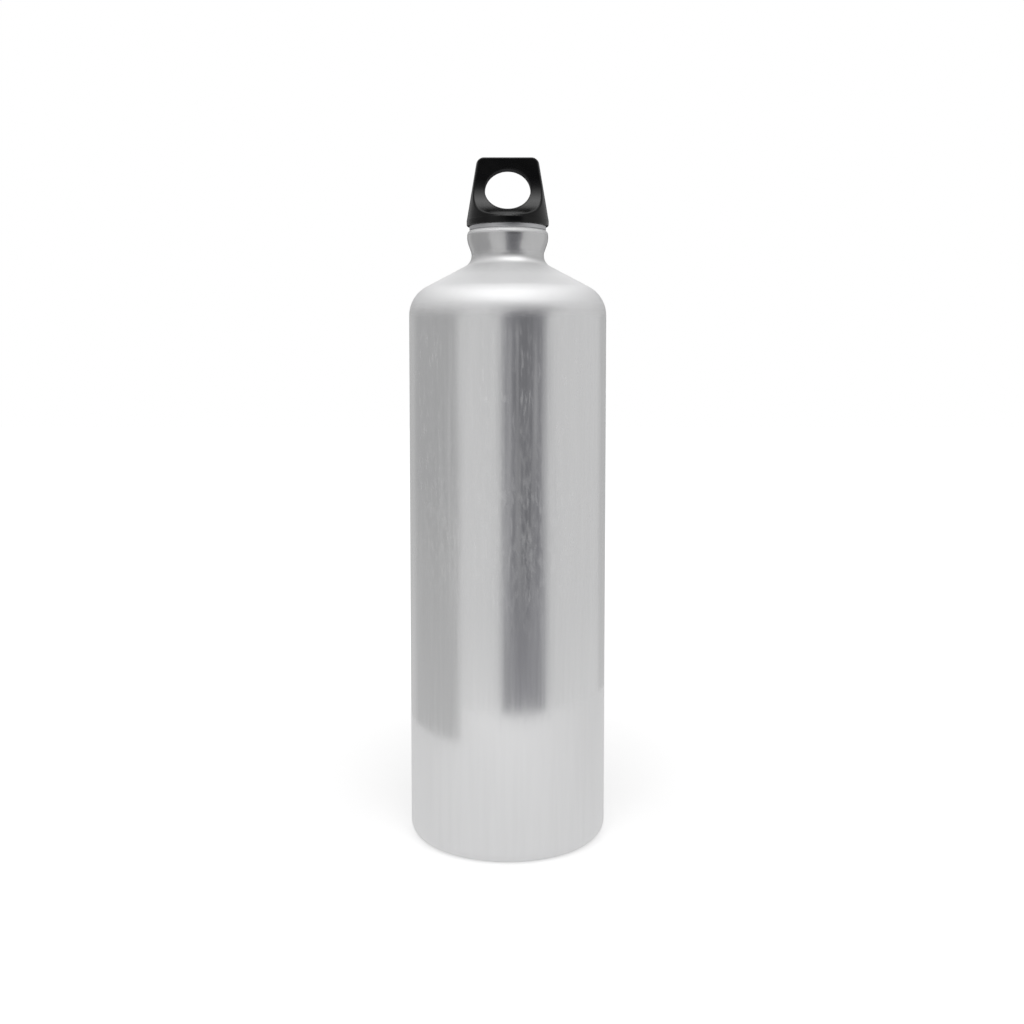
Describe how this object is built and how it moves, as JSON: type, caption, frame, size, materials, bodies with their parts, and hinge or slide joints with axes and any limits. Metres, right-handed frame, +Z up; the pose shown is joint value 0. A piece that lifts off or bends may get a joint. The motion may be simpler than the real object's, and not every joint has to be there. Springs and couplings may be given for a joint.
{
  "type": "aluminium water bottle",
  "caption": "Tall cylindrical aluminium drinking bottle with a rounded shoulder, waisted neck and a black screw cap with a carry loop.",
  "frame": {"origin": "centre of the base, on the plane of the flat ring that the bottle stands on", "axes": "+Z up along the bottle's axis, -Y towards the viewer who looks through the hole of the cap's loop"},
  "size_m": [0.09, 0.09, 0.3115],
  "materials": {
    "shell": "satin, drawn along the height",
    "lining": "baked lacquer",
    "thread_ring": "turned",
    "gasket": "matte silicone",
    "cap": "fine moulded satin"
  },
  "bodies": {
    "bottle": {"bottle_body": "shell", "inner_lining": "lining", "neck_thread_ring": "thread_ring"},
    "gasket": {"cap_gasket": "gasket"},
    "cap": {"screw_cap": "cap"}
  },
  "joints": [
    {"name": "cap_rise", "type": "slide", "parent": "bottle", "child": "gasket", "axis": [0, 0, 1], "range_m": [0, 0.014]},
    {"name": "cap_turn", "type": "hinge", "parent": "gasket", "child": "cap", "pos_m": [0, 0, 0.282], "axis": [0, 0, 1], "range_deg": [0, 1260]}
  ],
  "couplings": [
    {"joint": "cap_rise", "follows": "cap_turn", "m_per_rad": 0.00063662}
  ]
}
